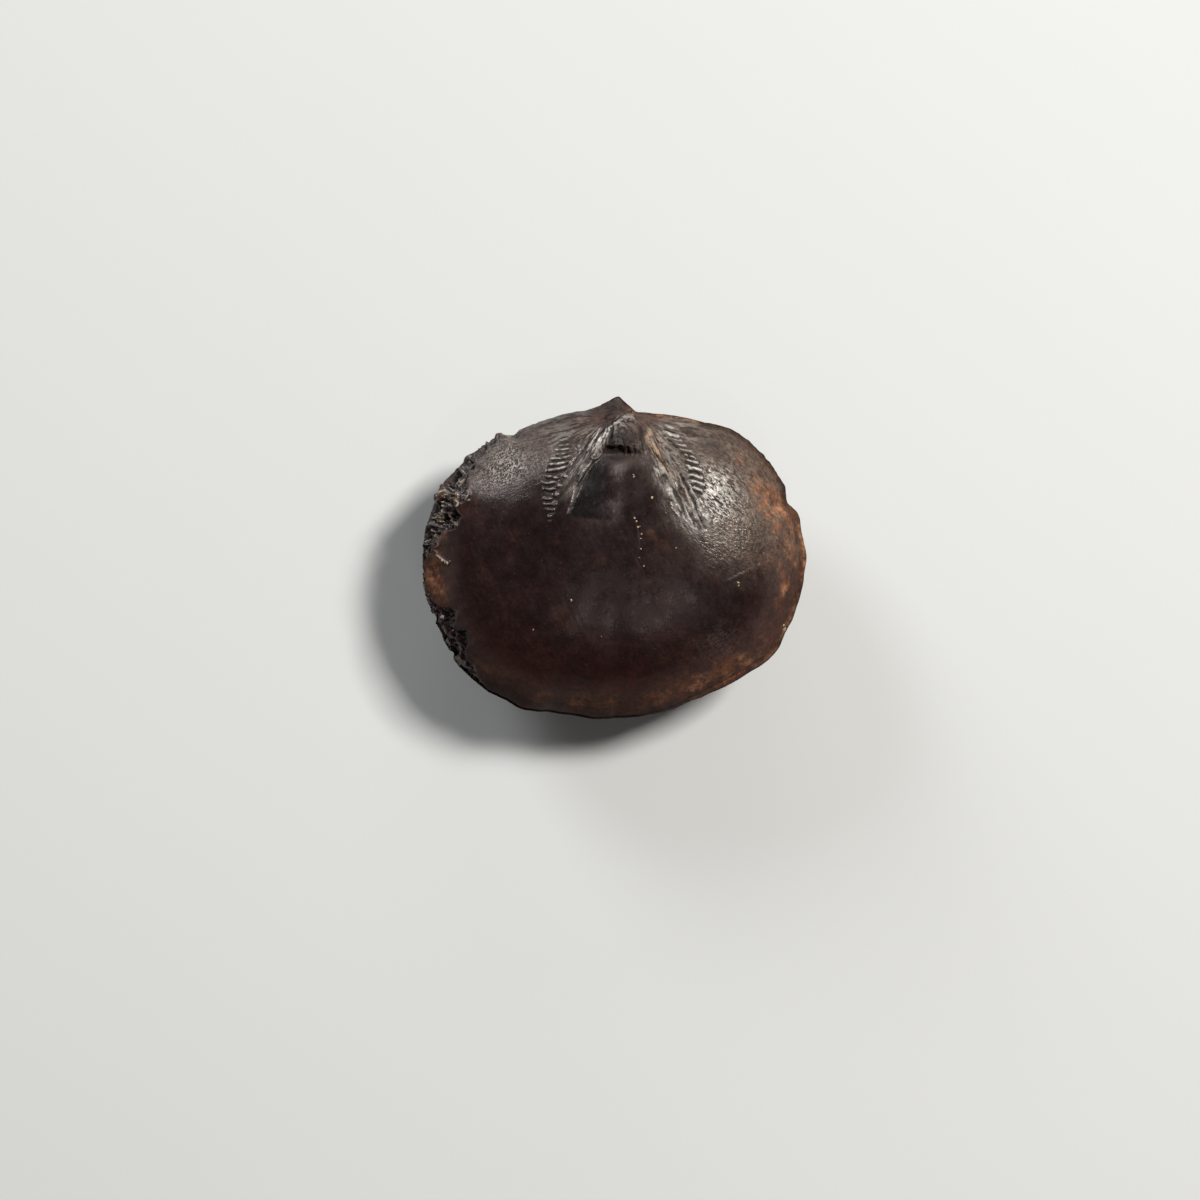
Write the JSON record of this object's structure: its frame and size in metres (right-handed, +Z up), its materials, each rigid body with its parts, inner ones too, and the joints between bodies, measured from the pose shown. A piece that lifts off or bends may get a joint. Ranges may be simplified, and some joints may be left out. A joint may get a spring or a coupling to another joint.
{
  "type": "brachiopod fossil",
  "caption": "Loose fossil lamp shell with both valves shut, turned to dark rust-stained iron mineral, lying on its larger valve with the umbo and its rows of short ridges on top.",
  "frame": {"origin": "centre of the bounding box's footprint, at the height of the worn flat that the fossil lies on", "axes": "+X to the shell's right margin as seen from above, +Y to the beak, +Z up out of the upper (brachial) valve"},
  "size_m": [0.015, 0.0125, 0.0064],
  "materials": {
    "iron_mineral": "satin"
  },
  "bodies": {
    "root": {"brachiopod": "iron_mineral"}
  },
  "joints": []
}
